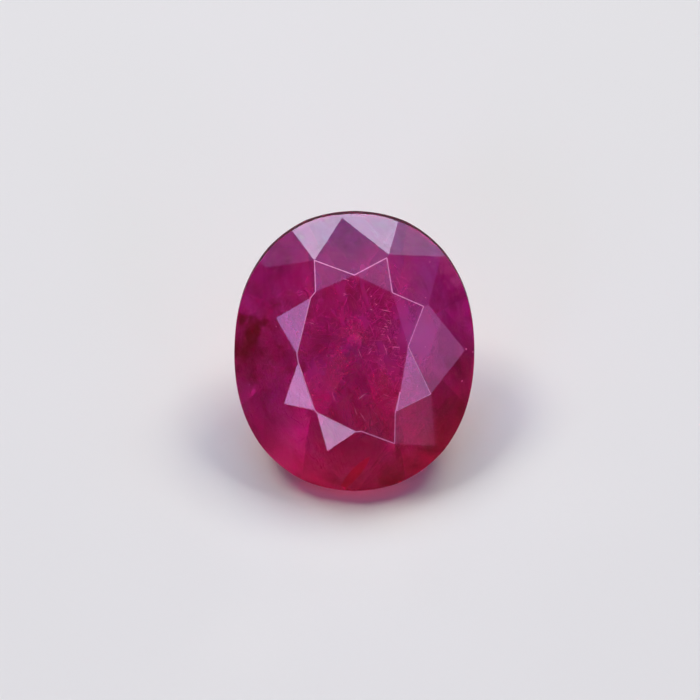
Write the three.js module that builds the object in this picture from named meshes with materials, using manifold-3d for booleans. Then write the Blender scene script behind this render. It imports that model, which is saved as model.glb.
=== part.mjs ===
// A ruby cut as an oval brilliant: table, stars, kites and upper girdle facets above the girdle,
// mains, breaks and a small culet below it. It lies on the pavilion main at one end of its long
// axis, with the table leaning to the front. Millimetres, +Z up, front is -Y.
import * as THREE from "three";
import { mergeVertices } from "three/addons/utils/BufferGeometryUtils.js";
import Module from "manifold-3d";

const wasm = await Module();
wasm.setup();

// Driving dimensions
const girdleWidth = 7.0;
const girdleLength = 8.2;
const girdleSquareness = 2.18; // 2 is an ellipse, and more fills out the shoulders
const girdleLean = 0.5; // degrees that the long axis leans clockwise, seen from above
const girdleThickness = 0.6;
const girdleSteps = 120;
const crownHeight = 1.1;
const pavilionDepth = 3.35; // from the girdle's lower edge to where the mains would meet
const culetCut = 0.2; // how much of that point the culet takes off
const breakReach = 0.45; // how far down the pavilion the breaks reach, as a share of its depth
const mainCount = 8;

// The crown was cut by hand, so its corners are given one by one, clockwise from the far end.
// across and along are measured on the stone from the middle of the girdle.
// table: a corner of the table. blunt: how far the kite's cut takes that corner back.
// tip: the outer corner of the star that follows. slope: how many degrees that star falls.
// miss: how far from the star's tip the two upper girdle facets meet.
// end: where the kite's outer corner comes to, a little inside the girdle.
// split: the azimuth at which the two upper girdle facets after this kite meet the girdle.
const crown = [
  { table: [0.0, 2.51], tip: [0.94, 2.97], slope: 18, miss: 0.12, end: [-0.36, 4.0], split: 71.8 },
  { table: [1.1, 1.99], tip: [2.01, 1.53], slope: 22, miss: 0.16, end: [2.52, 2.87], split: 30 },
  { table: [1.56, 0.4], tip: [2.22, -1.07], slope: 20, end: [3.22, 0.11], split: -31 },
  { table: [1.22, -1.55], blunt: 0.02, tip: [1.17, -2.53], slope: 18, end: [2.36, -2.74], split: -72 },
  { table: [0.11, -2.16], blunt: 0.04, tip: [-0.79, -2.75], slope: 16, end: [-0.01, -3.97], split: -110 },
  { table: [-1.14, -1.53], blunt: 0.02, tip: [-2.05, -1.36], slope: 22, end: [-2.52, -2.6], split: -149 },
  { table: [-1.69, 0.11], blunt: 0.03, tip: [-2.28, 1.2], slope: 16, end: [-3.36, 0.04], split: 150 },
  { table: [-1.24, 1.97], blunt: 0.06, tip: [-1.16, 2.88], slope: 23, end: [-2.58, 2.57], split: 116.6 },
];

// Sizes of the work, not of the stone
const lapSize = 30; // side of the block that stands for a cutting lap
const preformSpare = 1; // what the preform has over the table and under the point
const tangentStep = 1e-3; // radians to each side of where a tangent is taken
const weldTolerance = 1e-4;

const rubyLook = { color: 0x8c1038, roughness: 0.05, metalness: 0 };

// Where the pavilion mains would meet if the culet didn't cut the point off.
const point = new THREE.Vector3(0, 0, -girdleThickness - pavilionDepth);

// A point of the girdle's outline at height w. The angle is the one of the matching circle.
function girdlePoint(angle, w) {
  const power = 2 / girdleSquareness;
  const c = Math.cos(angle);
  const s = Math.sin(angle);
  const place = new THREE.Vector3(
    (girdleWidth / 2) * Math.sign(c) * Math.abs(c) ** power,
    (girdleLength / 2) * Math.sign(s) * Math.abs(s) ** power,
    w,
  );
  return place.applyAxisAngle(new THREE.Vector3(0, 0, 1), THREE.MathUtils.degToRad(-girdleLean));
}

// The point of the girdle's outline that lies at an azimuth in degrees.
function girdleAt(azimuth, w) {
  const lean = THREE.MathUtils.degToRad(azimuth + girdleLean);
  const across = Math.cos(lean) / (girdleWidth / 2);
  const along = Math.sin(lean) / (girdleLength / 2);
  const reach = (Math.abs(across) ** girdleSquareness + Math.abs(along) ** girdleSquareness)
    ** (-1 / girdleSquareness);
  const angle = THREE.MathUtils.degToRad(azimuth);
  return new THREE.Vector3(reach * Math.cos(angle), reach * Math.sin(angle), w);
}

// A plane through three points that faces away from the middle of the stone.
function facet(a, b, c) {
  const plane = new THREE.Plane().setFromCoplanarPoints(a, b, c);
  const middle = new THREE.Vector3(0, 0, -girdleThickness / 2);
  return plane.distanceToPoint(middle) > 0 ? plane.negate() : plane;
}

// The direction of the edge where two planes meet, pointing outwards.
function edgeBetween(planeA, planeB, from) {
  const edge = new THREE.Vector3().crossVectors(planeA.normal, planeB.normal).normalize();
  return edge.dot(new THREE.Vector3(from.x, from.y, 0)) < 0 ? edge.negate() : edge;
}

// The point of a plane over or under a place given across and along.
function onPlane(plane, [across, along]) {
  const { x, y, z } = plane.normal;
  return new THREE.Vector3(across, along, -(plane.constant + x * across + y * along) / z);
}

function solidOf(geometry) {
  geometry.deleteAttribute("normal");
  geometry.deleteAttribute("uv");
  const merged = mergeVertices(geometry, weldTolerance);
  return new wasm.Manifold(new wasm.Mesh({
    numProp: 3,
    vertProperties: merged.attributes.position.array,
    triVerts: new Uint32Array(merged.index.array),
  }));
}

function geometryOf(solid) {
  const { vertProperties, triVerts } = solid.getMesh();
  const geometry = new THREE.BufferGeometry()
    .setAttribute("position", new THREE.BufferAttribute(vertProperties, 3))
    .setIndex(new THREE.BufferAttribute(triVerts, 1))
    .toNonIndexed();
  geometry.computeVertexNormals();
  return geometry;
}

// Grinds a flat facet: everything beyond the plane goes.
function grind(stone, plane) {
  const lap = new THREE.BoxGeometry(lapSize, lapSize, lapSize);
  lap.translate(0, 0, lapSize / 2);
  lap.applyQuaternion(new THREE.Quaternion().setFromUnitVectors(
    new THREE.Vector3(0, 0, 1),
    plane.normal,
  ));
  const foot = plane.normal.clone().multiplyScalar(-plane.constant);
  lap.translate(foot.x, foot.y, foot.z);
  return stone.subtract(solidOf(lap));
}

// The rough oval column that all facets are ground from.
function preform() {
  const outline = new THREE.Shape();
  for (let i = 0; i < girdleSteps; i++) {
    const { x, y } = girdlePoint((2 * Math.PI * i) / girdleSteps, 0);
    if (i === 0) outline.moveTo(x, y);
    else outline.lineTo(x, y);
  }
  const bottom = point.z - preformSpare;
  const column = new THREE.ExtrudeGeometry(outline, {
    depth: crownHeight + preformSpare - bottom,
    bevelEnabled: false,
  });
  column.translate(0, 0, bottom);
  return solidOf(column);
}

// A star's outer corner: its slope says how far it lies below the table.
function starTip([across, along], slope, edgeStart, edgeEnd) {
  const level = new THREE.Vector3(across, along, crownHeight);
  const foot = new THREE.Line3(edgeStart, edgeEnd).closestPointToPoint(level, false, new THREE.Vector3());
  const drop = foot.distanceTo(level) * Math.tan(THREE.MathUtils.degToRad(slope));
  return level.setZ(crownHeight - drop);
}

// Table, 8 stars, 8 kites and 16 upper girdle facets.
function crownFacets() {
  const count = crown.length;
  const corners = crown.map(({ table }) => new THREE.Vector3(...table, crownHeight));
  const tips = crown.map(({ tip, slope }, i) => (
    starTip(tip, slope, corners[i], corners[(i + 1) % count])
  ));
  const centre = corners
    .reduce((sum, corner) => sum.add(corner), new THREE.Vector3())
    .divideScalar(count);
  const stars = crown.map((_, i) => facet(corners[i], corners[(i + 1) % count], tips[i]));
  const kites = crown.map(({ blunt = 0 }, i) => {
    const inward = centre.clone().sub(corners[i]).normalize();
    const top = corners[i].clone().addScaledVector(inward, blunt);
    return facet(top, tips[i], tips[(i + count - 1) % count]);
  });
  const upperGirdle = crown.flatMap(({ miss = 0, split }, i) => {
    const next = (i + 1) % count;
    const ridge = edgeBetween(kites[i], kites[next], tips[i]);
    const meet = tips[i].clone().addScaledVector(ridge, miss);
    const low = girdleAt(split, 0);
    return [
      facet(meet, low, onPlane(kites[i], crown[i].end)),
      facet(meet, low, onPlane(kites[next], crown[next].end)),
    ];
  });
  const table = new THREE.Plane(new THREE.Vector3(0, 0, 1), -crownHeight);
  return [table, ...stars, ...kites, ...upperGirdle];
}

// A pavilion main touches the girdle's lower edge and runs to the point under the middle.
function pavilionMain(angle) {
  const touch = girdlePoint(angle, -girdleThickness);
  const before = girdlePoint(angle - tangentStep, -girdleThickness);
  const after = girdlePoint(angle + tangentStep, -girdleThickness);
  const tangent = after.sub(before);
  return facet(touch, touch.clone().add(tangent), point);
}

// The main that the stone lies on faces straight along the long axis.
function restingMain() {
  const reach = girdlePoint(-Math.PI / 2, 0).length();
  const edge = new THREE.Vector3(0, -reach, -girdleThickness);
  const level = new THREE.Vector3(1, 0, 0);
  return facet(edge, edge.clone().add(level), point);
}

// 8 mains, 16 breaks between them and the girdle, and the culet.
function pavilionFacets() {
  const turn = (2 * Math.PI) / mainCount;
  const angles = Array.from({ length: mainCount }, (_, i) => -Math.PI / 2 + i * turn);
  const mains = angles.map((angle, i) => (i === 0 ? restingMain() : pavilionMain(angle)));
  const breaks = angles.flatMap((angle, i) => {
    const between = girdlePoint(angle + turn / 2, -girdleThickness);
    const ridge = edgeBetween(mains[i], mains[(i + 1) % mainCount], between);
    const climb = (pavilionDepth * (1 - breakReach)) / ridge.z;
    const meet = point.clone().addScaledVector(ridge, climb);
    return [
      facet(meet, between, girdlePoint(angle, -girdleThickness)),
      facet(meet, between, girdlePoint(angle + turn, -girdleThickness)),
    ];
  });
  const culet = new THREE.Plane(new THREE.Vector3(0, 0, -1), point.z + culetCut);
  return { mains, facets: [...mains, ...breaks, culet] };
}

const pavilion = pavilionFacets();
const stone = [...crownFacets(), ...pavilion.facets].reduce(grind, preform());

const cutRuby = new THREE.Mesh(geometryOf(stone), new THREE.MeshStandardMaterial(rubyLook));
cutRuby.name = "cut_ruby";

// Laid down: the resting main turns to face straight down, and the middle of the stone's box
// stands over the origin.
cutRuby.quaternion.setFromUnitVectors(pavilion.mains[0].normal, new THREE.Vector3(0, 0, -1));
const group = new THREE.Group();
group.add(cutRuby);
const box = new THREE.Box3().setFromObject(group, true);
const middle = box.getCenter(new THREE.Vector3());
cutRuby.position.set(-middle.x, -middle.y, -box.min.z);

export default group;
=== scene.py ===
# %% [markdown]
# A ruby cut as an oval brilliant, lying on one facet of its pavilion.
#
# The stone itself is one crystal, and its exact facets come ready made. What is left for Blender
# is what makes it a ruby: the polish of its facets, the red that deepens with every millimetre of
# crystal, the silk of fine needles inside, and the wear along the edges. First come the tools and
# the stone as it was cut.

# %% Load the cut stone
import math
import random

import bpy
from mathutils import Matrix, Vector


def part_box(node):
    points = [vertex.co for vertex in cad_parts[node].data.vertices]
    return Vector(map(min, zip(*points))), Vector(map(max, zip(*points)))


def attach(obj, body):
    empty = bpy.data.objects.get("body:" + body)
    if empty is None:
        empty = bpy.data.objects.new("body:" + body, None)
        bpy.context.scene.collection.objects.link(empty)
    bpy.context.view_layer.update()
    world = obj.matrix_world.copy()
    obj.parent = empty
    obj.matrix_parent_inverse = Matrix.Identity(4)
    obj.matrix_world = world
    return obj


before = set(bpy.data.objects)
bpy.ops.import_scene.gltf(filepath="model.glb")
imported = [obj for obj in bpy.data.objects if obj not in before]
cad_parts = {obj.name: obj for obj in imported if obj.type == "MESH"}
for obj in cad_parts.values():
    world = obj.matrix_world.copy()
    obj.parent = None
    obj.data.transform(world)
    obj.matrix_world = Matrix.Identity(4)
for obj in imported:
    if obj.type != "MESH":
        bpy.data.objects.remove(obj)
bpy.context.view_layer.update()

MM = 0.001
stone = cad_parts["cut_ruby"]
stone_low, stone_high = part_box("cut_ruby")
print("stone, mm:", [round(side / MM, 2) for side in stone_high - stone_low])

# %% [markdown]
# The stone leans. Its own axis runs from the culet through the middle of the table, and the girdle
# lies square to it. Every inclusion is easier to place on the stone than in the room: across and
# along the girdle, and up from its upper edge towards the table. The lean could be typed in, but
# the mesh already holds it: the table is the largest flat facet that looks upwards, and the axis
# points where the table does.

# %% Find the flat facets
SAME_WAY = 0.99999
SAME_PLANE = 0.002 * MM
CORNER_STEP = 0.002 * MM


def corner_name(place):
    """Corners of neighbouring faces that lie at one place get one name."""
    return tuple(round(c / CORNER_STEP) for c in place)


def flat_facets(mesh):
    """Each flat facet of the mesh: its normal, a point on it, its area and its corners by name."""
    found = []
    for face in mesh.polygons:
        for facet in found:
            same_way = facet["normal"].dot(face.normal) > SAME_WAY
            if same_way and abs((face.center - facet["point"]).dot(face.normal)) < SAME_PLANE:
                break
        else:
            facet = {"normal": face.normal.copy(), "point": face.center.copy()}
            facet.update(area=0.0, corners={})
            found.append(facet)
        facet["area"] += face.area
        for number in face.vertices:
            place = mesh.vertices[number].co.copy()
            facet["corners"][corner_name(place)] = place
    return found


facets = flat_facets(stone.data)
table = max((f for f in facets if f["normal"].z > 0), key=lambda f: f["area"])
AXIS = table["normal"].normalized()
ACROSS = Vector((1.0, 0.0, 0.0))
ALONG = AXIS.cross(ACROSS).normalized()
lean = math.atan2(-AXIS.y, AXIS.z)
print("flat facets:", len(facets), "table area, mm2:", round(table["area"] / MM**2, 2))
print("the table leans", round(math.degrees(lean), 2), "degrees to the front")

# %% Places on the stone
CROWN_HEIGHT = 1.1
GIRDLE_MIDDLE = Vector((0.0, -0.163, 3.059)) * MM


def on_stone(across, along, up):
    """The place that lies so many millimetres across, along and up from the girdle's middle."""
    return GIRDLE_MIDDLE + (ACROSS * across + ALONG * along + AXIS * up) * MM


def depth_inside(place):
    """How deep a place lies inside the stone, in mm: the distance to the nearest facet."""
    return min((f["point"] - place).dot(f["normal"]) for f in facets) / MM


def least_depth(places):
    """How deep the shallowest of the places lies inside the stone, in mm."""
    return min(depth_inside(place) for place in places)


print("depth of the girdle's middle, mm:", round(depth_inside(GIRDLE_MIDDLE), 2))

# %% [markdown]
# The view is a close one: the frame is about 20 mm wide. The camera looks down at the stone, 11
# degrees higher than the table faces, so that the far edge of the girdle shows as a thin line.
# Scratches and patches of colour were measured in the pixels of the photograph. So before the
# camera itself come helpers that turn a pixel into a place on the stone or in it.

# %% From pixels to places
PIXELS_PER_MM = 34.3
GIRDLE_AT = (354.4, 352.85)
ABOVE_TABLE = math.radians(11.0)
LEAST_FACING = 0.05

elevation = math.pi / 2 - lean + ABOVE_TABLE
TO_CAMERA = Vector((0.0, -math.cos(elevation), math.sin(elevation)))
IMAGE_UP = Vector((0.0, math.sin(elevation), math.cos(elevation)))


def pixels_away(x, y):
    """How far, in the room, a pixel of the frame lies from the girdle's middle."""
    right = (x - GIRDLE_AT[0]) / PIXELS_PER_MM * MM
    up = (GIRDLE_AT[1] - y) / PIXELS_PER_MM * MM
    return ACROSS * right + IMAGE_UP * up


def under_pixel(x, y, facet, depth):
    """The place so many millimetres under a facet that the camera sees at a pixel."""
    start = GIRDLE_MIDDLE + pixels_away(x, y)
    normal = facet["normal"]
    reach = (facet["point"] - normal * depth * MM - start).dot(normal) / TO_CAMERA.dot(normal)
    return start + TO_CAMERA * reach


def seen_at(x, y, depth=0.0):
    """The place that the camera sees at a pixel, or one so many millimetres behind it."""
    start = GIRDLE_MIDDLE + pixels_away(x, y)
    facing = [f for f in facets if f["normal"].dot(TO_CAMERA) > LEAST_FACING]
    reach = min((f["point"] - start).dot(f["normal"]) / TO_CAMERA.dot(f["normal"]) for f in facing)
    return start + TO_CAMERA * (reach - depth * MM)


print("the camera looks down by", round(math.degrees(elevation), 1), "degrees")

# %% [markdown]
# A long lens from a quarter of a metre away keeps the oval from being drawn out of shape. Its focal
# length follows from the width of the frame and that distance.

# %% Camera
FRAME_PIXELS = 700
CAMERA_AWAY = 0.25
NEAREST_SEEN = 0.01

camera_data = bpy.data.cameras.new("camera")
camera_data.lens = camera_data.sensor_width * CAMERA_AWAY / (FRAME_PIXELS / PIXELS_PER_MM * MM)
camera_data.clip_start = NEAREST_SEEN
camera = bpy.data.objects.new("camera", camera_data)
bpy.context.scene.collection.objects.link(camera)
frame_middle = GIRDLE_MIDDLE + pixels_away(FRAME_PIXELS / 2, FRAME_PIXELS / 2)
camera.location = frame_middle + TO_CAMERA * CAMERA_AWAY
camera.rotation_euler = (math.pi / 2 - elevation, 0.0, 0.0)
bpy.context.scene.camera = camera
print("lens, mm:", round(camera_data.lens))

# %% [markdown]
# Polished facets are mirrors, and each one mirrors its own small part of the room. So the light is
# set up the way a jeweller's photographer does it: a dim room, three windows high behind the stone,
# which light the floor and the bright facets at the far end, and a dozen small boxes, each where
# one facet or a few of them look. A picture of a whole studio could light the stone too, but then
# no facet could be lit by itself. The brightness of a box is given as its radiance, which is what a
# facet mirrors, and its place as an azimuth from the camera's side and a height, both in degrees.

# %% Softboxes
BOX_AWAY = 0.5


def softbox(name, azimuth, height, wide, tall, radiance):
    """A rectangular light that the stone sees so many degrees wide and tall."""
    turn, rise = math.radians(azimuth), math.radians(height)
    level = math.cos(rise)
    direction = Vector((math.sin(turn) * level, -math.cos(turn) * level, math.sin(rise)))
    light = bpy.data.lights.new(name, "AREA")
    light.shape = "RECTANGLE"
    light.size = 2 * BOX_AWAY * math.tan(math.radians(wide) / 2)
    light.size_y = 2 * BOX_AWAY * math.tan(math.radians(tall) / 2)
    brightest = max(radiance)
    light.energy = brightest * math.pi * light.size * light.size_y
    light.color = [channel / brightest for channel in radiance]
    lamp = bpy.data.objects.new(name, light)
    bpy.context.scene.collection.objects.link(lamp)
    lamp.location = GIRDLE_MIDDLE + direction * BOX_AWAY
    lamp.rotation_euler = direction.to_track_quat("Z", "Y").to_euler()
    lamp.visible_camera = False


softbox("window", -169, 54, 36, 18, (3.9, 4.3, 5.8))
softbox("window_right", 144, 52, 22, 20, (10.4, 10.0, 8.9))
softbox("window_left", -128, 55, 16, 18, (13.0, 12.4, 11.0))
softbox("front_low", -13, 11, 10, 8, (3.3, 2.6, 4.6))
softbox("front_left", -41, 15, 12, 10, (3.2, 2.3, 4.6))
softbox("front_left_top", -41, 38, 12, 10, (1.8, 1.4, 3.3))
softbox("front_right_low", 40, -2, 10, 8, (0.45, 0.18, 0.45))
softbox("right", 40, 23, 12, 10, (1.8, 1.1, 2.7))
softbox("right_low", 62, 20, 12, 10, (0.9, 0.5, 1.3))
softbox("right_side", 68, 38, 44, 8, (0.4, 0.16, 0.7))
softbox("right_back", 122, 38, 20, 12, (0.7, 1.0, 1.8))
softbox("left_back", -107, 40, 18, 10, (0.3, 0.3, 0.75))
softbox("top_right", 41, 67, 14, 12, (0.5, 0.5, 1.3))
softbox("top_left", -68, 71, 14, 12, (0.5, 0.5, 1.3))
softbox("top_back", -164, 69, 10, 8, (0.3, 0.5, 1.2))

# %% Dim room
ROOM_WHITE = (1.0, 1.0, 1.0, 1.0)
ROOM_BRIGHTNESS = 0.05

world = bpy.data.worlds.new("dim_room")
bpy.context.scene.world = world
world.use_nodes = True
background = world.node_tree.nodes["Background"]
background.inputs["Color"].default_value = ROOM_WHITE
background.inputs["Strength"].default_value = ROOM_BRIGHTNESS
print("brightness of the room:", ROOM_BRIGHTNESS)

# %% [markdown]
# A material is a small network of nodes. Each one below starts from the same two, an output and a
# Principled shader, and reads the coordinates of the object itself, which stay put when the view
# moves. What more than one material needs is a node group, built once, with named sockets for what
# it is given and what it gives back.

# %% Materials, nodes and groups
def new_material(name):
    """A material with an output and a Principled shader: its tree, the shader and the output."""
    material = bpy.data.materials.new(name)
    material.use_nodes = True
    tree = material.node_tree
    tree.nodes.clear()
    output = tree.nodes.new("ShaderNodeOutputMaterial")
    shader = tree.nodes.new("ShaderNodeBsdfPrincipled")
    tree.links.new(shader.outputs["BSDF"], output.inputs["Surface"])
    return material, tree, shader, output


def add(tree, kind, inputs=(), **settings):
    """A new node: its settings, then its inputs, each a plain value or a socket to link from."""
    node = tree.nodes.new("ShaderNode" + kind)
    for setting, value in settings.items():
        setattr(node, setting, value)
    for name, value in dict(inputs).items():
        if isinstance(value, bpy.types.NodeSocket):
            tree.links.new(value, node.inputs[name])
        else:
            node.inputs[name].default_value = value
    return node


def new_group(name, inputs, outputs):
    """A node group with named sockets: the group, what it is given and what it gives back."""
    group = bpy.data.node_groups.new(name, "ShaderNodeTree")
    for socket, kind in inputs.items():
        group.interface.new_socket(socket, in_out="INPUT", socket_type="NodeSocket" + kind)
    for socket, kind in outputs.items():
        group.interface.new_socket(socket, in_out="OUTPUT", socket_type="NodeSocket" + kind)
    given = group.nodes.new("NodeGroupInput").outputs
    result = group.nodes.new("NodeGroupOutput").inputs
    return group, given, result


print("helpers:", [helper.__name__ for helper in (new_material, add, new_group)])

# %% Values and colours in a tree of nodes
GRAIN_LOW = 0.3
GRAIN_HIGH = 0.7


def object_place(tree):
    """The coordinates of the object itself."""
    return add(tree, "TexCoord").outputs["Object"]


def ramp(tree, value, low, high, to_low=0.0, to_high=1.0):
    """A value stretched so that low to high becomes to_low to to_high, clamped, with soft ends."""
    values = {"Value": value, "From Min": low, "From Max": high, "To Min": to_low, "To Max": to_high}
    return add(tree, "MapRange", values, interpolation_type="SMOOTHSTEP").outputs["Result"]


def grain(tree, where, fineness, detail=3.0, distortion=0.0):
    """An uneven value all over the object, nearly all of it between GRAIN_LOW and GRAIN_HIGH."""
    values = {"Vector": where, "Scale": fineness, "Detail": detail, "Distortion": distortion}
    return add(tree, "TexNoise", values).outputs["Fac"]


def times(tree, first, second):
    """One value times another."""
    return add(tree, "Math", {0: first, 1: second}, operation="MULTIPLY").outputs[0]


def dot_product(tree, where, direction):
    """How far each place lies along one direction."""
    return add(tree, "VectorMath", {0: where, 1: direction}, operation="DOT_PRODUCT").outputs["Value"]


def blend_colours(tree, amount, first, second):
    """The first colour where the amount is 0, the second where it is 1."""
    return add(tree, "Mix", {0: amount, 6: first, 7: second}, data_type="RGBA").outputs[2]


def dim(tree, amount, colour, by):
    """A colour, multiplied by another one as far as the amount says."""
    mixed = {0: amount, 6: colour, 7: by}
    return add(tree, "Mix", mixed, data_type="RGBA", blend_type="MULTIPLY").outputs[2]


print("nearly all grain lies between", GRAIN_LOW, "and", GRAIN_HIGH)

# %% [markdown]
# The floor is plain and pale, and only there to catch the shadow and the red light that comes
# through the stone. It isn't part of the object. It is hidden from mirrored rays, because its
# mirror image in the facets would turn the red grey.

# %% Floor
FLOOR_HALF = 0.6
FLOOR_CORNERS = ((-1, -1), (1, -1), (1, 1), (-1, 1))
FLOOR_COLOUR = (0.785, 0.79, 0.75, 1.0)
FLOOR_ROUGHNESS = 0.85

floor_mesh = bpy.data.meshes.new("floor")
floor_places = [(x * FLOOR_HALF, y * FLOOR_HALF, 0.0) for x, y in FLOOR_CORNERS]
floor_mesh.from_pydata(floor_places, [], [(0, 1, 2, 3)])
floor = bpy.data.objects.new("floor", floor_mesh)
bpy.context.scene.collection.objects.link(floor)
pale_floor, _, floor_shader, _ = new_material("pale_floor")
floor_shader.inputs["Base Color"].default_value = FLOOR_COLOUR
floor_shader.inputs["Roughness"].default_value = FLOOR_ROUGHNESS
floor_mesh.materials.append(pale_floor)
floor.visible_glossy = False
print("side of the floor, m:", 2 * FLOOR_HALF)

# %% [markdown]
# Ruby is corundum coloured by a little chromium. Three things make its look: light bends strongly
# as it enters, green and blue are absorbed on the way through, and in a silky stone like this one
# some of the light is scattered by needles too fine to see one by one. Bending is the shader's IOR,
# absorption is a plain Volume Absorption node, and the fine scattering is the shader's subsurface
# share. A scattering volume could do that last part, but it takes many times as long to render.
# Most of the light goes straight through, so that the silk modelled further down shows.

# %% Clear red crystal
RUBY_IOR = 1.77
CLEAR_SHARE = 0.86
SCATTER_LENGTH = 1.2 * MM
SCATTER_BY_CHANNEL = (1.0, 0.2, 0.45)
ABSORPTION_COLOUR = (0.94, 0.2, 0.6, 1.0)
ABSORPTION_DENSITY = 70.0

ruby, ruby_tree, ruby_shader, ruby_output = new_material("ruby")
ruby_shader.inputs["IOR"].default_value = RUBY_IOR
ruby_shader.inputs["Transmission Weight"].default_value = CLEAR_SHARE
ruby_shader.inputs["Subsurface Weight"].default_value = 1.0
ruby_shader.inputs["Subsurface Radius"].default_value = SCATTER_BY_CHANNEL
ruby_shader.inputs["Subsurface Scale"].default_value = SCATTER_LENGTH
absorption = {"Color": ABSORPTION_COLOUR, "Density": ABSORPTION_DENSITY}
absorb = add(ruby_tree, "VolumeAbsorption", absorption)
ruby_tree.links.new(absorb.outputs["Volume"], ruby_output.inputs["Volume"])
print("share of the light that goes straight in:", CLEAR_SHARE)

# %% [markdown]
# The colour isn't even. It is pinker at the far end and redder at the near one, and towards the rim
# it is darker with painted shade. The colour could be painted on the corners of the mesh, but facets
# as large as these have too few of them. So each change is a mask: a value from 0 to 1 that follows
# from how far up or along the stone a place lies. All stretches are in mm.

# %% How far up and along the ruby
PINKER_WAY = (ALONG - ACROSS * 0.35 + AXIS * 0.2).normalized()
PINKER_OVER = (-4.2, 1.0)

where = object_place(ruby_tree)
away = {0: where, 1: GIRDLE_MIDDLE}
from_middle = add(ruby_tree, "VectorMath", away, operation="SUBTRACT").outputs[0]
up_ruby = dot_product(ruby_tree, from_middle, AXIS)
along_ruby = dot_product(ruby_tree, from_middle, ALONG)
pinker_end = dot_product(ruby_tree, from_middle, PINKER_WAY)


def over(value, stretch, to_low=0.0, to_high=1.0):
    """A mask in the ruby that changes from one value to another over a stretch given in mm."""
    low, high = stretch
    return ramp(ruby_tree, value, low * MM, high * MM, to_low, to_high)


pinker = over(pinker_end, PINKER_OVER)
print("the ruby turns pinker over", PINKER_OVER[1] - PINKER_OVER[0], "mm")

# %% [markdown]
# The rim is the low part of the crown, just above the girdle, and its masks carry painted shade. The
# girdle itself was only ground. It is the one surface that stands square to the table, so the
# normals of the mesh find it.

# %% Masks for the rim and the girdle
RIM_OVER = (0.3, 1.05)
NEAR_RIM_OVER = (0.25, 0.75)
ABOVE_GIRDLE_OVER = (-0.1, 0.0)
FAR_END_OVER = (-3.6, 0.4)
FAR_END_LEAST = 0.8
NEAR_HALF_OVER = (-1.0, 1.0)
NEAR_END_OVER = (-4.0, -3.0)
WALL_LEVEL = 0.1

far_end = over(along_ruby, FAR_END_OVER, FAR_END_LEAST, 1.0)
near_half = over(along_ruby, NEAR_HALF_OVER, 1.0, 0.0)
near_end = over(along_ruby, NEAR_END_OVER, 1.0, 0.0)
above_girdle = over(up_ruby, ABOVE_GIRDLE_OVER)

rim = times(ruby_tree, over(up_ruby, RIM_OVER, 1.0, 0.0), far_end)
rim = times(ruby_tree, rim, above_girdle)
near_rim = times(ruby_tree, over(up_ruby, NEAR_RIM_OVER, 1.0, 0.0), above_girdle)
near_rim = times(ruby_tree, near_rim, near_half)

level = dot_product(ruby_tree, add(ruby_tree, "TexCoord").outputs["Normal"], AXIS)
wall = add(ruby_tree, "Math", {0: level, 1: 0.0, 2: WALL_LEVEL}, operation="COMPARE").outputs[0]
print("nodes in the ruby after its masks:", len(ruby_tree.nodes))

# %% [markdown]
# Silk is what jewellers call the rutile in a ruby: needles thinner than a hair that grew in three
# directions, 60 degrees apart, all square to the crystal's own axis. That axis isn't quite the
# stone's, because a cutter follows the shape of the rough crystal.

# %% Directions of the silk
CRYSTAL_TILT = math.radians(14.0)
TILT_ACROSS = 0.6
FIRST_SILK_ANGLE = math.radians(-10.0)
SILK_TURN = 60.0

tilted_to = ALONG + ACROSS * TILT_ACROSS
crystal_axis = (AXIS + tilted_to * math.sin(CRYSTAL_TILT)).normalized()
silk_zero = (ACROSS - crystal_axis * ACROSS.dot(crystal_axis)).normalized()
silk_ways = []
for number in range(3):
    angle = FIRST_SILK_ANGLE + math.radians(SILK_TURN * number)
    silk_ways.append(Matrix.Rotation(angle, 3, crystal_axis) @ silk_zero)
print("silk directions:", [tuple(round(c, 2) for c in way) for way in silk_ways])

# %% [markdown]
# The finest silk is too small to model one by one. It shows as faint streaks in the colour, so it
# is noise, drawn out along each of the three directions, and the strongest of the three counts. A
# node group keeps its many nodes out of the ruby's own tree.

# %% Silk streaks as a node group
STREAK_STRETCH = 7.0
STREAK_DETAIL = 1.5
STREAK_WANDER = 0.4
STREAK_FULL = 0.78


def silk_streaks_group():
    """Thin faint streaks along the three silk directions, as a mask from 0 to 1."""
    inputs = {"Vector": "Vector", "Fineness": "Float", "Thinness": "Float"}
    group, given, result = new_group("silk_streaks", inputs, {"Streaks": "Float"})
    strongest = None
    for way in silk_ways:
        places = {
            "X": dot_product(group, given["Vector"], way / STREAK_STRETCH),
            "Y": dot_product(group, given["Vector"], crystal_axis.cross(way)),
            "Z": dot_product(group, given["Vector"], crystal_axis),
        }
        stretched = add(group, "CombineXYZ", places).outputs[0]
        streak = grain(group, stretched, given["Fineness"], STREAK_DETAIL, STREAK_WANDER)
        cut_off = {"Value": streak, "From Min": given["Thinness"], "From Max": STREAK_FULL}
        thin = add(group, "MapRange", cut_off).outputs["Result"]
        if strongest is None:
            strongest = thin
        else:
            strongest = add(group, "Math", {0: strongest, 1: thin}, operation="MAXIMUM").outputs[0]
    group.links.new(strongest, result["Streaks"])
    return group


silk_streaks = silk_streaks_group()
print("nodes in the silk streaks:", len(silk_streaks.nodes))

# %% [markdown]
# Every colour of the body comes in two forms, one for the redder end and one for the pinker end.
# The body is mottled with a darker colour and a lighter one. Both lie in blotches that are drawn
# out along the silk, so a place in the stone is drawn out first, and the grain is read there.

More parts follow.
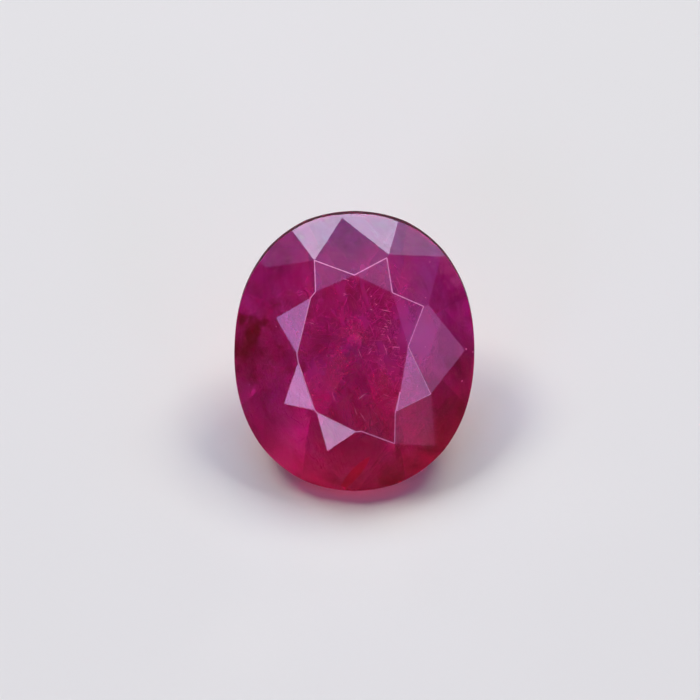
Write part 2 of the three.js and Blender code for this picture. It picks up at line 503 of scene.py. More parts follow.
# %% Body colour and mottling
BODY = ((1.0, 0.008, 0.095, 1.0), (0.94, 0.014, 0.44, 1.0))
DARKER = ((0.64, 0.004, 0.035, 1.0), (0.56, 0.008, 0.22, 1.0))
LIGHTER = ((1.0, 0.03, 0.13, 1.0), (1.0, 0.06, 0.60, 1.0))
DARK_BLOTCHES = {"fineness": 2300.0, "detail": 2.5, "distortion": 0.4}
LIGHT_BLOTCHES = {"fineness": 2100.0, "detail": 2.0, "distortion": 0.7}
DARK_STRETCH = 1.7
LIGHT_STRETCH = 2.6
DARK_UNTIL = (0.28, 0.56)
LIGHT_FROM = (0.48, 0.68)
LIGHTEST = 0.9


def red_to_pink(forms):
    """A colour that changes from its redder form to its pinker one along the stone."""
    redder_form, pinker_form = forms
    return blend_colours(ruby_tree, pinker, redder_form, pinker_form)


def drawn_out(way, stretch):
    """The place in the stone, with everything drawn out along one direction."""
    back = times(ruby_tree, dot_product(ruby_tree, where, way), 1.0 / stretch - 1.0)
    shift = add(ruby_tree, "VectorMath", {0: way, "Scale": back}, operation="SCALE").outputs[0]
    return add(ruby_tree, "VectorMath", {0: where, 1: shift}, operation="ADD").outputs[0]


mottle = grain(ruby_tree, drawn_out(silk_ways[2], DARK_STRETCH), **DARK_BLOTCHES)
glints = grain(ruby_tree, drawn_out(silk_ways[2], LIGHT_STRETCH), **LIGHT_BLOTCHES)
darkened = ramp(ruby_tree, mottle, *DARK_UNTIL, 1.0, 0.0)
lightened = ramp(ruby_tree, glints, *LIGHT_FROM, 0.0, LIGHTEST)
crimson = blend_colours(ruby_tree, darkened, red_to_pink(BODY), red_to_pink(DARKER))
crimson = blend_colours(ruby_tree, lightened, crimson, red_to_pink(LIGHTER))
print("nodes in the ruby after its mottling:", len(ruby_tree.nodes))

# %% [markdown]
# The streaks of fine silk lie over the mottling. Silk comes in patches too, so one more grain says
# where they show. Over all of that lies the painted shade of the rim.

# %% Fine silk and the painted shade of the rim
SILKY = ((1.0, 0.04, 0.12, 1.0), (1.0, 0.09, 0.42, 1.0))
SILK_FINENESS = 5200.0
SILK_THINNESS = 0.55
SILK_PATCH_FINENESS = 1300.0
SILK_PATCHES_FROM = (0.42, 0.6)
SILK_PATCH_SHARES = (0.1, 0.9)
PAINTED_RIM_SHADE = (0.55, 0.7, 0.85, 1.0)
PAINTED_NEAR_RIM_SHADE = (0.95, 0.7, 0.55, 1.0)

silk_patches = grain(ruby_tree, where, SILK_PATCH_FINENESS, 2.0)
silk_patches = ramp(ruby_tree, silk_patches, *SILK_PATCHES_FROM, *SILK_PATCH_SHARES)
own_values = {"Vector": where, "Fineness": SILK_FINENESS, "Thinness": SILK_THINNESS}
streaks = add(ruby_tree, "Group", own_values, node_tree=silk_streaks).outputs["Streaks"]
faint = times(ruby_tree, streaks, silk_patches)
crimson = blend_colours(ruby_tree, faint, crimson, red_to_pink(SILKY))
# Painted shade: the colour is darkened towards the rim, where the crown meets the girdle.
crimson = dim(ruby_tree, rim, crimson, PAINTED_RIM_SHADE)
crimson = dim(ruby_tree, near_rim, crimson, PAINTED_NEAR_RIM_SHADE)
print("nodes in the ruby after its fine silk:", len(ruby_tree.nodes))

# %% [markdown]
# Single patches of dark red, shade, cloudy pink and lilac stand where the photograph shows them. A
# patch is a mask that is 1 at its middle and fades to 0 at its reach. Clouds in a crystal have no
# clean border, so a grain pulls the distance about first. A patch can shade the colour under it,
# which keeps the mottling, or tint it, which veils the mottling as a real cloud does.

# %% Patches with ragged borders
COARSE_BORDER = 2600.0
FINE_BORDER = 4200.0


def patch(middle, reach, ragged, fineness=COARSE_BORDER):
    """1 around one place in the stone, fading to 0 at its reach in mm, with a ragged border."""
    distance = add(ruby_tree, "VectorMath", {0: where, 1: middle}, operation="DISTANCE")
    pull = grain(ruby_tree, where, fineness)
    pull = ramp(ruby_tree, pull, GRAIN_LOW, GRAIN_HIGH, 1.0 - ragged, 1.0 + ragged)
    pulled = times(ruby_tree, distance.outputs["Value"], pull)
    return over(pulled, (0.0, reach), 1.0, 0.0)


def shade(colour, by, middle, reach, ragged):
    """A colour, multiplied by another one in a patch."""
    return dim(ruby_tree, patch(middle, reach, ragged), colour, by)


def tint(colour, to, middle, reach, ragged, share, fineness=FINE_BORDER):
    """A colour, blended into another one in a patch, no further than the share says."""
    amount = times(ruby_tree, patch(middle, reach, ragged, fineness), share)
    return blend_colours(ruby_tree, amount, colour, to)


print("helpers:", [helper.__name__ for helper in (patch, shade, tint)])

# %% [markdown]
# The small patches are given by the pixel they show at and their reach in mm, and the broad ones by
# how far across, along and up the stone their middle lies. Later patches lie over earlier ones.

# %% Patches of colour
DARK_RED_AT = ((247.0, 345.0, 0.9), (254.0, 326.0, 0.6), (388.0, 480.0, 0.6), (333.0, 480.0, 0.4))
SHADY_AT = ((320.0, 337.0, 0.5), (362.0, 382.0, 0.4), (392.0, 327.0, 0.45), (314.0, 349.0, 0.35))
CLOUDY_AT = (
    (340.0, 361.0, 0.5),
    (332.0, 378.0, 0.6),
    (382.0, 384.0, 0.4),
    (374.0, 428.0, 0.6),
    (356.0, 334.0, 0.5),
)
LILAC_AT = ((444.0, 260.0, 0.35), (449.0, 269.0, 0.4), (455.0, 281.0, 0.35))
LEFT_SIDE = (-3.2, 0.2, 0.3)
NEAR_CROWN = (0.0, -3.1, 0.6)
LEFT_PAINTED_SHADE = (0.85, 0.6, 0.45, 1.0)
DARK_RED = (0.5, 0.1, 0.1, 1.0)
SHADY = (0.75, 0.5, 0.7, 1.0)
CLEAR_RED = (1.0, 0.012, 0.13, 1.0)
CLOUDY_PINK = (1.0, 0.09, 0.34, 1.0)
LILAC = (1.0, 0.25, 0.75, 1.0)

# Painted shade: a broad darkening low on the left side of the crown, as at the rim.
crimson = shade(crimson, LEFT_PAINTED_SHADE, on_stone(*LEFT_SIDE), reach=2.6, ragged=0.2)
for x, y, reach in DARK_RED_AT:
    crimson = shade(crimson, DARK_RED, seen_at(x, y), reach, ragged=0.7)
clearer = {"reach": 1.5, "ragged": 0.3, "share": 0.7, "fineness": COARSE_BORDER}
crimson = tint(crimson, CLEAR_RED, on_stone(*NEAR_CROWN), **clearer)
for x, y, reach in SHADY_AT:
    crimson = shade(crimson, SHADY, seen_at(x, y), reach, ragged=0.4)
for x, y, reach in CLOUDY_AT:
    crimson = tint(crimson, CLOUDY_PINK, seen_at(x, y), reach, ragged=0.5, share=0.8)
for x, y, reach in LILAC_AT:
    crimson = tint(crimson, LILAC, seen_at(x, y), reach, ragged=0.5, share=0.6)
print("nodes in the ruby after its patches:", len(ruby_tree.nodes))

# %% [markdown]
# One facet on the right also shows a painted sheen: a pinker patch with a straight border, beyond
# which the colour changes at once. The patch is cut off by a plane. Two pixels on the border and the
# way to the camera say how that plane stands.

# %% Painted sheen on one facet
SHEEN_AT = (424.0, 335.0)
SHEEN_BORDER = ((440.4, 323.5), (427.5, 359.0))
SHEEN_REACH = 1.5
SHEEN_SHARE = 0.8
SHEEN_PINK = (1.0, 0.13, 0.85, 1.0)
BORDER_SOFTNESS = 0.02 * MM

sheen_middle = seen_at(*SHEEN_AT)
border_start, border_end = (seen_at(x, y) for x, y in SHEEN_BORDER)
sheen_way = (border_end - border_start).cross(TO_CAMERA).normalized()
if (sheen_middle - border_start).dot(sheen_way) < 0:
    sheen_way.negate()
border = border_start.dot(sheen_way)
across_border = dot_product(ruby_tree, where, sheen_way)
beyond = ramp(ruby_tree, across_border, border - BORDER_SOFTNESS, border + BORDER_SOFTNESS)
# Painted sheen: beyond the border the patch blends the colour into a pinker one.
zone = times(ruby_tree, beyond, patch(sheen_middle, SHEEN_REACH, ragged=0.1))
crimson = blend_colours(ruby_tree, times(ruby_tree, zone, SHEEN_SHARE), crimson, SHEEN_PINK)
print("border of the growth zone, mm:", round((border_end - border_start).length / MM, 2))

# %% [markdown]
# Low on the right side and at the near end the crown is darkened with painted shade. The culet,
# the tiny facet at the point, is worn, so it doesn't shine through the table as a clean disc. The
# ground wall of the girdle is a dull grey red.

# %% Low painted shades, culet and girdle
LOW_PAINTED_SHADES = (
    ((2.9, -1.9, 0.3), 2.4, (0.72, 0.55, 0.5, 1.0)),
    ((1.7, -3.4, 0.2), 1.7, (0.6, 0.5, 0.4, 1.0)),
    ((1.0, -3.6, 0.2), 1.1, (0.7, 0.6, 0.5, 1.0)),
)
CULET_OVER = (-3.74, -3.6)
CULET_FINENESS = 5200.0
CULET_WEAR_FROM = (0.42, 0.58)
CULET_LEAST_WEAR = 0.35
CULET_SHADE = (0.25, 0.35, 0.25, 1.0)
WALL_COLOUR = (0.22, 0.09, 0.13, 1.0)

# Painted shade: the crown is darkened low on the right and at the near end.
for middle, reach, by in LOW_PAINTED_SHADES:
    crimson = shade(crimson, by, on_stone(*middle), reach, ragged=0.2)
culet = over(up_ruby, CULET_OVER, 1.0, 0.0)
culet_wear = grain(ruby_tree, where, CULET_FINENESS)
culet_wear = ramp(ruby_tree, culet_wear, *CULET_WEAR_FROM, CULET_LEAST_WEAR, 1.0)
crimson = dim(ruby_tree, times(ruby_tree, culet, culet_wear), crimson, CULET_SHADE)
crimson = blend_colours(ruby_tree, times(ruby_tree, wall, far_end), crimson, WALL_COLOUR)
ruby_tree.links.new(crimson, ruby_shader.inputs["Base Color"])
print("nodes in the ruby after its colour:", len(ruby_tree.nodes))

# %% [markdown]
# Red light that has run through the stone leaves at the girdle's near end and falls on the floor.
# Cycles finds too few of those paths, so the near end of the girdle glows a little instead.

# %% Glow at the near end
NO_GLOW = (0.0, 0.0, 0.0, 1.0)
GLOW = (0.4, 0.003, 0.03, 1.0)

glow = blend_colours(ruby_tree, times(ruby_tree, wall, near_end), NO_GLOW, GLOW)
ruby_tree.links.new(glow, ruby_shader.inputs["Emission Color"])
ruby_shader.inputs["Emission Strength"].default_value = 1.0
print("glow of the girdle's near end:", GLOW[:3])

# %% [markdown]
# The crown is polished bright, and the pavilion of a hand-cut stone less well. The girdle is matt,
# as grinding leaves it. Facets are flat, so each face is shaded flat: smooth shading would round
# the edges between them.

# %% Polish
CROWN_ROUGHNESS = 0.03
PAVILION_ROUGHNESS = 0.3
WALL_ROUGHNESS = 0.35
POLISHED_FROM = -0.3 * MM

height_test = {0: up_ruby, 1: POLISHED_FROM}
polished = add(ruby_tree, "Math", height_test, operation="GREATER_THAN").outputs[0]
by_side = {0: polished, 2: PAVILION_ROUGHNESS, 3: CROWN_ROUGHNESS}
finish = add(ruby_tree, "Mix", by_side, data_type="FLOAT").outputs[0]
with_wall = {0: wall, 2: finish, 3: WALL_ROUGHNESS}
finish = add(ruby_tree, "Mix", with_wall, data_type="FLOAT").outputs[0]
ruby_tree.links.new(finish, ruby_shader.inputs["Roughness"])

stone.data.materials.clear()
stone.data.materials.append(ruby)
for face in stone.data.polygons:
    face.use_smooth = False
print("ruby facets shaded flat:", len(stone.data.polygons))

# %% [markdown]
# Nothing in or on the stone is evenly bright. Needles, a healed crack, worn edges, scratches and
# dust are all duller in some places than in others. This unevenness is the same in each of their
# materials, so it is one node group. It is given a colour and a roughness, and gives both back,
# made uneven by the same grain: where the colour is duller, the surface is smoother.

# %% Uneven mineral as a node group
MINERAL_FINENESS = 2500.0
DULL_SHADE = (0.7, 0.7, 0.7, 1.0)
ROUGHER_BY = 0.2


def uneven_mineral_group():
    """A mineral's colour and roughness, both made uneven by one grain."""
    inputs = {"Vector": "Vector", "Colour": "Color", "Roughness": "Float"}
    outputs = {"Colour": "Color", "Roughness": "Float"}
    group, given, result = new_group("uneven_mineral", inputs, outputs)
    uneven = grain(group, given["Vector"], MINERAL_FINENESS, 2.0)
    dull = dim(group, 1.0, given["Colour"], DULL_SHADE)
    colour = blend_colours(group, uneven, dull, given["Colour"])
    rougher = {0: given["Roughness"], 1: ROUGHER_BY}
    roughest = add(group, "Math", rougher, operation="ADD").outputs[0]
    roughness = ramp(group, uneven, GRAIN_LOW, GRAIN_HIGH, given["Roughness"], roughest)
    group.links.new(colour, result["Colour"])
    group.links.new(roughness, result["Roughness"])
    return group


uneven_mineral = uneven_mineral_group()
print("nodes in the uneven mineral:", len(uneven_mineral.nodes))

# %% Finishes of the inclusions
def mineral(name, colour, roughness, alpha=1.0, glow=None):
    """The finish of a mineral in the stone, of worn or scratched crystal, or of dust."""
    material, tree, shader, _ = new_material(name)
    own_values = {"Vector": object_place(tree), "Colour": colour, "Roughness": roughness}
    uneven = add(tree, "Group", own_values, node_tree=uneven_mineral).outputs
    tree.links.new(uneven["Colour"], shader.inputs["Base Color"])
    tree.links.new(uneven["Roughness"], shader.inputs["Roughness"])
    shader.inputs["Alpha"].default_value = alpha
    if glow:
        shader.inputs["Emission Color"].default_value = glow
        shader.inputs["Emission Strength"].default_value = 1.0
    return material


silk = mineral("silk", (1.0, 0.6, 0.8, 1.0), roughness=0.35, alpha=0.6)
wisp = mineral("wisp", (1.0, 0.55, 0.85, 1.0), roughness=0.45, alpha=0.55)
print("finishes so far:", [material.name for material in (silk, wisp)])

# %% [markdown]
# The larger silk is made of real meshes. Its needles could be curves with a round bevel, but those
# come out with far more faces than so thin a thing can show. Here each needle is a slim double
# pyramid on three sides, six triangles in all, so thousands of them stay light. Three helpers build
# all that lies in or on the stone: a piece, a strand, and a body whose corners lie in rings.

# %% Meshes in and on the stone
def add_piece(name, material, corners, faces):
    """A mesh piece that rides on the stone's body and takes the finish it is given."""
    mesh = bpy.data.meshes.new(name)
    mesh.from_pydata(corners, [], faces)
    mesh.materials.append(material)
    piece = bpy.data.objects.new(name, mesh)
    bpy.context.scene.collection.objects.link(piece)
    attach(piece, "root")
    print(name, "triangles:", sum(len(face) - 2 for face in faces))


def add_strand(corners, faces, points, half_width):
    """A three-sided strand through the points, widest in the middle and pointed at both ends."""
    first = len(corners)
    corners.append(points[0])
    for number in range(1, len(points) - 1):
        way = (points[number + 1] - points[number - 1]).normalized()
        side = way.orthogonal().normalized()
        other = way.cross(side)
        width = half_width * math.sin(math.pi * number / (len(points) - 1))
        for third in range(3):
            angle = 2 * math.pi * third / 3
            outwards = side * math.cos(angle) + other * math.sin(angle)
            corners.append(points[number] + outwards * width)
    corners.append(points[-1])
    last = len(corners) - 1
    rings = [range(start, start + 3) for start in range(first + 1, last, 3)]
    for third in range(3):
        after = (third + 1) % 3
        faces.append((first, rings[0][after], rings[0][third]))
        faces.append((last, rings[-1][third], rings[-1][after]))
        for low, high in zip(rings, rings[1:]):
            faces.append((low[third], low[after], high[after], high[third]))


def close_rings(corners, faces, first, sides):
    """The faces of a closed body whose corners, from the first on, lie in rings of so many."""
    rings = [range(ring, ring + sides) for ring in range(first, len(corners), sides)]
    faces.append(tuple(reversed(rings[0])))
    faces.append(tuple(rings[-1]))
    for low, high in zip(rings, rings[1:]):
        for side in range(sides):
            after = (side + 1) % sides
            faces.append((low[side], low[after], high[after], high[side]))


print("helpers:", [helper.__name__ for helper in (add_piece, add_strand, close_rings)])

# %% [markdown]
# Needles lie in drifting clouds. First the clouds are scattered through the stone, and then each of
# the three silk directions gets its own needles in all of them. A needle that would come too near
# to a facet is left out, so that none sticks out of the stone. All lengths are in mm.

# %% Clouds of silk
SILK_SEED = 7
SILK_CLOUDS = 26
SILK_ACROSS = (-3.2, 3.2)
SILK_ALONG = (-3.8, 3.8)
SILK_UP = (-2.8, 1.0)
CLOUD_SPREAD = (0.35, 0.9)
CLOUD_LEAST_DEPTH = 0.1


def wander(draw, amount):
    """A small random offset."""
    return Vector((draw.gauss(0, 1), draw.gauss(0, 1), draw.gauss(0, 1))) * amount


draw = random.Random(SILK_SEED)
clouds = []
while len(clouds) < SILK_CLOUDS:
    across, along = draw.uniform(*SILK_ACROSS), draw.uniform(*SILK_ALONG)
    middle = on_stone(across, along, draw.uniform(*SILK_UP))
    if depth_inside(middle) > CLOUD_LEAST_DEPTH:
        clouds.append((middle, draw.uniform(*CLOUD_SPREAD)))
print("clouds of silk:", len(clouds))

# %% Silk needles
NEEDLES_IN_CLOUD = 180
NEEDLE_SCATTER = 0.6
NEEDLE_TURN = 0.08
NEEDLE_HALF_LENGTH = (0.04, 0.22)
NEEDLE_HALF_WIDTH = (0.003, 0.008)
NEEDLE_LEAST_DEPTH = 0.05

for letter, way in zip("abc", silk_ways):
    corners, faces = [], []
    for middle, spread in clouds:
        for _ in range(NEEDLES_IN_CLOUD // 3):
            place = middle + wander(draw, spread * NEEDLE_SCATTER * MM)
            turned = (way + wander(draw, NEEDLE_TURN)).normalized()
            half = turned * draw.uniform(*NEEDLE_HALF_LENGTH) * MM
            half_width = draw.uniform(*NEEDLE_HALF_WIDTH) * MM
            if least_depth((place + half, place - half)) > NEEDLE_LEAST_DEPTH:
                add_strand(corners, faces, (place - half, place, place + half), half_width)
    add_piece("silk_" + letter, silk, corners, faces)

# %% [markdown]
# Just under the table the silk is coarser: curved wisps, some in bundles, most of them on the right
# half of the table. They catch the light, so they are what shows that the red is deep. A fine
# pattern in the table's own colour would look flat there. So each wisp is a strand that starts out
# along the silk and bends a little further with every step.

# %% Wisps under the table
WISP_SEED = 21
WISP_COUNT = 120
WISP_WAYS = silk_ways + [silk_ways[2], silk_ways[2], silk_ways[1]]
WISP_STEPS = 5
WISP_STEP = (0.05, 0.15)
WISP_TURN = 0.2
WISP_BEND = 0.18
WISP_HALF_WIDTH = (0.006, 0.016)
WISP_LEAST_DEPTH = 0.02
WISPS_ACROSS = (-1.7, 1.7)
WISPS_ALONG = (-2.4, 2.0)
WISPS_UNDER_TABLE = (0.04, 0.9)
WISPS_KEPT = 0.55
WISPS_KEPT_PER_MM = 0.3
BEND_A_STEP = 0.3


def curved_points(draw, start, turn, bend, step, steps):
    """Points of a curved strand that sets out more or less along the silk."""
    way = (draw.choice(WISP_WAYS) + wander(draw, turn)).normalized()
    bent = wander(draw, bend)
    length = draw.uniform(*step) * MM
    points = [start]
    for _ in range(steps):
        way = (way + bent * BEND_A_STEP).normalized()
        points.append(points[-1] + way * length)
    return points


draw = random.Random(WISP_SEED)
corners, faces = [], []
made = 0
while made < WISP_COUNT:
    across, along = draw.uniform(*WISPS_ACROSS), draw.uniform(*WISPS_ALONG)
    if draw.random() > WISPS_KEPT + WISPS_KEPT_PER_MM * across:
        continue
    start = on_stone(across, along, CROWN_HEIGHT - draw.uniform(*WISPS_UNDER_TABLE))
    points = curved_points(draw, start, WISP_TURN, WISP_BEND, WISP_STEP, WISP_STEPS)
    if least_depth(points) > WISP_LEAST_DEPTH:
        add_strand(corners, faces, points, draw.uniform(*WISP_HALF_WIDTH) * MM)
        made += 1
add_piece("table_wisps", wisp, corners, faces)

# %% [markdown]
# Between the fine wisps hang broader ones, soft and mostly see-through: clouds of silk too fine to
# tell apart. A small volume would show such a cloud too, but only a mesh can go out with the stone.
# So they are the same strands, only wider, pink at the far end and redder towards the front, and
# half of them gather where the photograph shows the table cloudiest.

# %% Soft clouds of silk
SOFT_SEED = 3
SOFT_KINDS = (
    ("pink_clouds", (1.0, 0.45, 0.85, 1.0), 0.30, 90, (-1.4, 2.6)),
    ("red_clouds", (1.0, 0.3, 0.5, 1.0), 0.28, 80, (-2.4, 0.9)),
)
SOFT_ROUGHNESS = 0.6
SOFT_STEPS = 6
SOFT_STEP = (0.04, 0.09)
SOFT_TURN = 0.25
SOFT_BEND = 0.3
SOFT_HALF_WIDTH = (0.025, 0.06)
SOFT_LEAST_DEPTH = 0.07
SOFT_UNDER_TABLE = (0.08, 0.6)
GATHERED_UNDER_TABLE = (0.08, 0.5)
GATHERED_SPREAD = 0.4

draw = random.Random(SOFT_SEED)
for name, colour, alpha, count, stretch_along in SOFT_KINDS:
    soft = mineral(name, colour, SOFT_ROUGHNESS, alpha)
    corners, faces = [], []
    made = 0
    while made < count:
        across, along = draw.uniform(*WISPS_ACROSS), draw.uniform(*stretch_along)
        start = on_stone(across, along, CROWN_HEIGHT - draw.uniform(*SOFT_UNDER_TABLE))
        if made % 2:
            x, y, reach = draw.choice(CLOUDY_AT)
            start = under_pixel(x, y, table, draw.uniform(*GATHERED_UNDER_TABLE))
            start = start + wander(draw, reach * GATHERED_SPREAD * MM)
        points = curved_points(draw, start, SOFT_TURN, SOFT_BEND, SOFT_STEP, SOFT_STEPS)
        if least_depth(points) > SOFT_LEAST_DEPTH:
            add_strand(corners, faces, points, draw.uniform(*SOFT_HALF_WIDTH) * MM)
            made += 1
    add_piece(name, soft, corners, faces)

# %% [markdown]
# Near the girdle at the front a healed crack shows as a brighter red blade. It could be one more
# patch of colour, but it lies in the crystal, not on it. So it is a thin closed sheet a little
# under the surface, pointed at the top and rounded at the girdle. Light runs along such a crack and
# leaves it all over its face, so its finish glows faintly red.

# %% Red feather
FEATHER_FROM = (370.0, 456.0)
FEATHER_TO = (343.0, 487.0)
FEATHER_HALF_WIDTH = 4.6
FEATHER_POINT_HALF_WIDTH = 0.1
FEATHER_ROUNDED_SHARE = 0.85
FEATHER_FULLNESS = 0.7
FEATHER_DEPTH = 0.02
FEATHER_SIDE_DEEPER = 0.03
FEATHER_BACK_DEEPER = 0.05
FEATHER_STEPS = 14
FEATHER_RED = (1.0, 0.15, 0.35, 1.0)
FEATHER_GLOW = (0.06, 0.001, 0.02, 1.0)

feather_red = mineral("feather_red", FEATHER_RED, roughness=0.45, alpha=0.6, glow=FEATHER_GLOW)
run = Vector(FEATHER_TO) - Vector(FEATHER_FROM)
aside = Vector((-run.y, run.x)).normalized()
corners, faces = [], []
for number in range(FEATHER_STEPS + 1):
    share = number / FEATHER_STEPS
    bulge = math.sin(math.pi * min(share * FEATHER_ROUNDED_SHARE, 1.0)) ** FEATHER_FULLNESS
    width = FEATHER_HALF_WIDTH * bulge + FEATHER_POINT_HALF_WIDTH
    ring = ((-width, 0.0), (width, FEATHER_SIDE_DEEPER), (0.0, FEATHER_BACK_DEEPER))
    for side, deeper in ring:
        x, y = Vector(FEATHER_FROM) + run * share + aside * side
        corners.append(seen_at(x, y, FEATHER_DEPTH + deeper))
close_rings(corners, faces, 0, 3)
add_piece("red_feather", feather_red, corners, faces)

# %% [markdown]
# Facet edges are the first thing to wear on a loose stone. The worn ones are slim and matt, and
# show as fine pink lines, partly wear and partly a painted highlight where the worn edge catches the
# light: on the outer edges of the stars at the far end and on the right, on the table's own edges at
# the left, and on the short edges where a kite meets the table. A bevel on the stone could show that,
# but it would change its exact facets. So each is a thin strip bent over the edge it sits on, as
# uneven as wear is, a few thousandths of a millimetre proud. First the edges have to be found: two
# facets share one where they share two corners.

# %% Find the crown's edges
GIRDLE_HALF_WIDTH = 3.5
GIRDLE_HALF_LENGTH = 4.1
LEAST_STAR_EDGE = 0.8 * MM


def shared_edge(facet, other):
    """The two places between which two facets meet, or None."""
    shared = [place for name, place in facet["corners"].items() if name in other["corners"]]
    if len(shared) < 2:
        return None
    return max(
        ((a, b) for a in shared for b in shared if a is not b),
        key=lambda pair: (pair[0] - pair[1]).length,
    )


def clockwise_angle(place):
    """The angle of a place around the stone's axis, clockwise from the far end, 0 to 360."""
    offset = place - GIRDLE_MIDDLE
    return math.degrees(math.atan2(offset.dot(ACROSS), offset.dot(ALONG))) % 360.0


def reach_out(place):
    """How far a place lies out from the stone's axis, where 1 is the girdle."""
    offset = (place - GIRDLE_MIDDLE) / MM
    across = offset.dot(ACROSS) / GIRDLE_HALF_WIDTH
    along = offset.dot(ALONG) / GIRDLE_HALF_LENGTH
    return math.hypot(across, along)


stars = []
for facet in facets:
    edge = shared_edge(table, facet) if facet is not table else None
    if edge and (edge[0] - edge[1]).length > LEAST_STAR_EDGE:
        stars.append((clockwise_angle((edge[0] + edge[1]) / 2), facet, edge))
stars.sort(key=lambda star: star[0])
print("stars at:", [round(angle) for angle, facet, edge in stars])

# %% Worn edges with painted highlights
WEAR_SEED = 5
WEAR_STEP = 0.05 * MM
WEAR_PROUD = 0.004 * MM
WEAR_HALF_WIDTH = 0.0145 * MM
WEAR_UNEVEN = (0.75, 1.25)
SIDES_PROUD = 0.5
FOOT_SUNK = 2
LEAST_WORN_EDGE = 0.2 * MM
STARS_WORN_OUTSIDE = (7, 0, 1, 2, 3)
WORN_HIGHLIGHT_PINK = (0.9, 0.4, 0.72, 1.0)

draw = random.Random(WEAR_SEED)


def add_worn_highlight_strip(corners, faces, edge, facet, other):
    """A matt strip bent over the edge between two facets, closed at both ends, its pale pink a
    painted highlight.
    """
    start, end = edge
    way = (end - start).normalized()
    middle = (facet["normal"] + other["normal"]).normalized()
    sides = []
    for one, two in ((facet, other), (other, facet)):
        side = one["normal"].cross(way)
        sides.append(side if side.dot(two["normal"]) < 0 else -side)
    count = max(2, round((end - start).length / WEAR_STEP))
    first = len(corners)
    for number in range(count + 1):
        place = start.lerp(end, number / count)
        width = WEAR_HALF_WIDTH * draw.uniform(*WEAR_UNEVEN)
        corners.append(place + sides[0] * width + middle * WEAR_PROUD * SIDES_PROUD)
        corners.append(place + middle * WEAR_PROUD)
        corners.append(place + sides[1] * width + middle * WEAR_PROUD * SIDES_PROUD)
        corners.append(place - middle * WEAR_PROUD * FOOT_SUNK)
    close_rings(corners, faces, first, 4)


# Painted highlight: the pale pink of the worn edges stands in for light caught on them.
worn = mineral("worn_edge_highlight", WORN_HIGHLIGHT_PINK, roughness=0.5)
corners, faces = [], []
for number, (angle, star, table_edge) in enumerate(stars):
    if number in STARS_WORN_OUTSIDE:
        for other in facets:
            edge = shared_edge(star, other) if other not in (star, table) else None
            if edge and (edge[0] - edge[1]).length > LEAST_WORN_EDGE:
                add_worn_highlight_strip(corners, faces, edge, star, other)
    else:
        add_worn_highlight_strip(corners, faces, table_edge, star, table)
for facet in facets:
    kite_edge = shared_edge(table, facet) if facet is not table else None
    if kite_edge and (kite_edge[0] - kite_edge[1]).length < LEAST_STAR_EDGE:
        add_worn_highlight_strip(corners, faces, kite_edge, facet, table)
add_piece("worn_edge_highlights", worn, corners, faces)

# %% [markdown]
# A soft cloth and years of handling leave fine scratches on the table, and dust settles on it. A
# bump in the finish could carry the scratches, but the finest would be lost on so small a stone.
# So they are meshes too: strands that lie in the surface, the longest where the photograph of the
# stone shows them, and the others around them, along the silk.

# %% Long scratches
SCRATCH_SEED = 11
LONG_SCRATCHES = (
    ((378.0, 309.1), (392.9, 312.2)),
    ((383.2, 326.3), (388.2, 327.2)),
    ((382.0, 342.4), (387.2, 357.3)),
    ((390.6, 346.7), (401.0, 347.5)),
    ((357.3, 347.0), (362.2, 359.6)),
    ((386.0, 333.2), (391.2, 344.7)),
    ((353.9, 404.4), (358.5, 417.0)),
    ((358.5, 410.1), (366.5, 422.7)),
    ((356.2, 400.9), (368.2, 391.7)),
    ((331.5, 392.9), (335.5, 402.6)),
)
LONG_DEPTH = 0.004
LONG_HALF_WIDTH = 0.012 * MM
LONG_BOW = 0.08
LONG_STEPS = 4
SCRATCH_PINK = (1.0, 0.36, 0.66, 1.0)

draw = random.Random(SCRATCH_SEED)
scratch = mineral("scratch", SCRATCH_PINK, roughness=0.5)
corners, faces = [], []
for pixels in LONG_SCRATCHES:
    start, end = (under_pixel(x, y, table, LONG_DEPTH) for x, y in pixels)
    bow = table["normal"].cross(end - start) * draw.uniform(-LONG_BOW, LONG_BOW)
    points = []
    for number in range(LONG_STEPS + 1):
        share = number / LONG_STEPS
        points.append(start.lerp(end, share) + bow * math.sin(math.pi * share))
    add_strand(corners, faces, points, LONG_HALF_WIDTH)
print("long scratches:", len(LONG_SCRATCHES))

# %% Short scratches
SHORT_SCRATCHES = 90
SHORT_AT = (378.0, 335.0)
SHORT_SPREAD = (24.0, 42.0)
SHORT_DEPTH = 0.002
SHORT_TURN = 0.15
SHORT_HALF_LENGTH = (0.03, 0.13)
SHORT_HALF_WIDTH = (0.003, 0.006)
SHORT_BEND = 0.004 * MM
TESTED_UP = -0.02

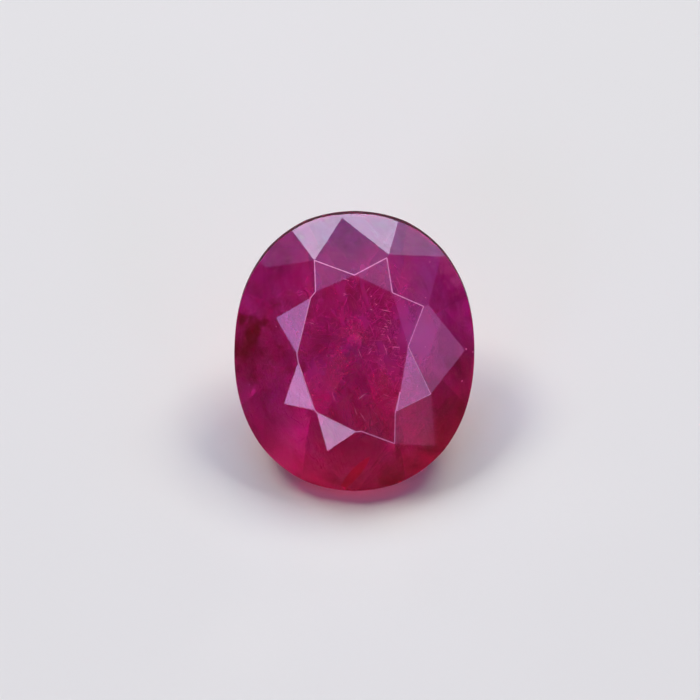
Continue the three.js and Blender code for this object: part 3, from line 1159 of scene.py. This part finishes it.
made = 0
while made < SHORT_SCRATCHES:
    x = draw.gauss(SHORT_AT[0], SHORT_SPREAD[0])
    y = draw.gauss(SHORT_AT[1], SHORT_SPREAD[1])
    place = under_pixel(x, y, table, SHORT_DEPTH)
    way = draw.choice(silk_ways) + wander(draw, SHORT_TURN)
    half = (way - AXIS * way.dot(AXIS)).normalized() * draw.uniform(*SHORT_HALF_LENGTH) * MM
    points = [place - half, place + wander(draw, SHORT_BEND), place + half]
    if least_depth(point + AXIS * TESTED_UP * MM for point in points) > 0.0:
        add_strand(corners, faces, points, draw.uniform(*SHORT_HALF_WIDTH) * MM)
        made += 1
add_piece("table_scratches", scratch, corners, faces)

# %% [markdown]
# Dust is a handful of bright specks where the photograph of the stone shows them, and many finer
# ones all over the crown. Each is a strand as well, only short and thick, no wider than a few
# hundredths of a millimetre.

# %% Specks of dust
BRIGHT_SPECKS = ((371.0, 296.5), (462.0, 381.0), (466.0, 349.0), (473.0, 352.0), (313.0, 395.0))
BRIGHT_RADIUS = 0.03
SPECK_COUNT = 70
SPECK_RADII = (0.007, 0.009, 0.011, 0.018)
SPECK_THICKNESS = 0.8
SPECKS_RIGHT = (240.0, 470.0)
SPECKS_DOWN = (220.0, 485.0)
SPECKS_REACH = 0.93

corners, faces = [], []
specks = [(seen_at(x, y), BRIGHT_RADIUS) for x, y in BRIGHT_SPECKS]
while len(specks) < SPECK_COUNT:
    x, y = draw.uniform(*SPECKS_RIGHT), draw.uniform(*SPECKS_DOWN)
    place = seen_at(x, y)
    if reach_out(place) < SPECKS_REACH:
        specks.append((place, draw.choice(SPECK_RADII)))
for place, radius in specks:
    half = wander(draw, 1.0).normalized() * radius * MM
    add_strand(corners, faces, (place - half, place, place + half), radius * SPECK_THICKNESS * MM)
add_piece("specks", scratch, corners, faces)

# %% [markdown]
# Inside a cut stone light goes from facet to facet many times before it leaves, so the number of
# bounces is set high, and mirror images are kept sharp. The plain "Standard" view keeps the pink of
# the stone from being washed out.

# %% Look
BOUNCES = 24
MIRROR_BOUNCES = 16

scene = bpy.context.scene
scene.view_settings.view_transform = "Standard"
scene.cycles.max_bounces = BOUNCES
scene.cycles.transmission_bounces = BOUNCES
scene.cycles.glossy_bounces = MIRROR_BOUNCES
scene.cycles.blur_glossy = 0.0
print("light bounces:", scene.cycles.max_bounces)
